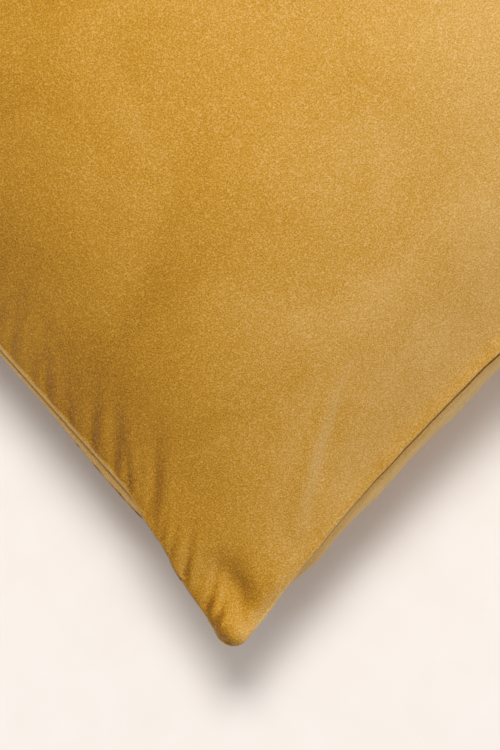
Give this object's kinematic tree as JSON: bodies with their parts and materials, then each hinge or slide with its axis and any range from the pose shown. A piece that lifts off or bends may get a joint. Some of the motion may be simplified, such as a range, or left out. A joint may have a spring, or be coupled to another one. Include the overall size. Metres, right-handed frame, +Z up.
{
  "type": "throw pillow",
  "caption": "Square velvet throw pillow: two crowned panels with drawn-in sides, a concealed zip along one side, and a fibre-filled insert.",
  "frame": {"origin": "centre of the pillow's bounding box, on the surface that it rests on", "axes": "+Z up through the front panel's crown; +X along the zip, from its closed end to its open end; the zip closes the -Y side"},
  "size_m": [0.4376, 0.4376, 0.128],
  "materials": {
    "velvet": "golden ochre short-pile velvet, matte with a pale sheen at grazing angles",
    "thread": "spun polyester sewing thread, matched to the velvet",
    "zip_tape": "woven polyester tape, matched to the velvet",
    "zip_coil": "moulded nylon coil, satin",
    "zip_metal": "zinc alloy, enamelled to match the velvet, satin",
    "label": "blank white satin label",
    "casing": "plain white woven cotton, matte",
    "casing_thread": "white sewing thread",
    "filling": "white hollow polyester fibre"
  },
  "bodies": {
    "cover": {"front_panel": "velvet", "back_panel": "velvet", "seam_needle_thread": "thread", "seam_bobbin_thread": "thread", "allowance_overlock": "thread", "zip_front_overlock": "thread", "zip_back_overlock": "thread", "zip_tape_front": "zip_tape", "zip_tape_back": "zip_tape", "zip_coil_front": "zip_coil", "zip_coil_back": "zip_coil", "zip_stitching_front": "thread", "zip_stitching_back": "thread", "zip_top_stops": "zip_metal", "zip_bottom_stop": "zip_metal", "care_label": "label", "insert_casing_front": "casing", "insert_casing_back": "casing", "insert_seam_thread": "casing_thread", "insert_closing_stitch": "casing_thread", "insert_filling": "filling"},
    "slider": {"zip_slider": "zip_metal"},
    "pull": {"zip_pull": "zip_metal"}
  },
  "joints": [
    {"name": "zip_slide", "type": "slide", "parent": "cover", "child": "slider", "axis": [1, 0, 0], "range_m": [0, 0.28]},
    {"name": "zip_pull_swing", "type": "hinge", "parent": "slider", "child": "pull", "pos_m": [-0.1401, -0.2074, 0.05], "axis": [0, 0, -1], "range_deg": [0, 180]}
  ]
}
